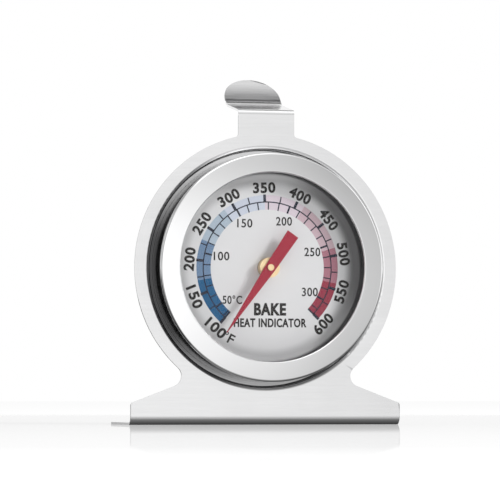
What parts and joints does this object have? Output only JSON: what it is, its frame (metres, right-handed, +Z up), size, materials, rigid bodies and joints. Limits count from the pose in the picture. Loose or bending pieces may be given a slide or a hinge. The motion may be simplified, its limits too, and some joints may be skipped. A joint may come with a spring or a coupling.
{
  "type": "oven thermometer",
  "caption": "Round bimetal dial thermometer for an oven, clamped in a pressed steel stand with a flat foot and a hook for a rack wire; the pointer turns on its spindle.",
  "frame": {"origin": "on the floor, below the middle of the object's box", "axes": "+Z up, the dial faces -Y, +X to the right as seen from the front"},
  "size_m": [0.062, 0.0304, 0.0787],
  "materials": {
    "stand_steel": "satin stainless sheet",
    "case_steel": "drawn stainless sheet",
    "bezel_steel": "polished stainless",
    "gasket": "heat-proof gasket",
    "lens_glass": "clear flat glass",
    "dial_paint": "satin light grey paint, printed",
    "brass": "turned brass",
    "movement_steel": "plain steel",
    "bimetal": "rolled bimetal strip",
    "pointer_paint": "satin crimson paint",
    "dial_print": "printed scale"
  },
  "bodies": {
    "root": {"stand_frame": "stand_steel", "case_cup": "case_steel", "clamp_ring": "case_steel", "bezel": "bezel_steel", "lens_gasket": "gasket", "lens": "lens_glass", "dial_plate": "dial_paint", "front_bush": "brass", "movement_bridge": "movement_steel", "bridge_rivets": "movement_steel", "rear_bush": "brass", "lock_washer": "movement_steel", "rear_nut": "brass", "coil_anchor": "brass", "anchor_wedge": "movement_steel", "bimetal_coil": "bimetal"},
    "pointer_shaft": {"coil_hub": "brass", "thrust_washer": "movement_steel", "spindle": "movement_steel", "pointer_hub": "brass", "pointer": "pointer_paint"}
  },
  "joints": [
    {"name": "pointer_turn", "type": "hinge", "parent": "root", "child": "pointer_shaft", "pos_m": [0, -0.00885, 0.035], "axis": [0, 1, 0], "range_deg": [-15, 285], "stiffness_Nm_per_rad": 0.0005, "deforming": ["bimetal_coil"]}
  ]
}
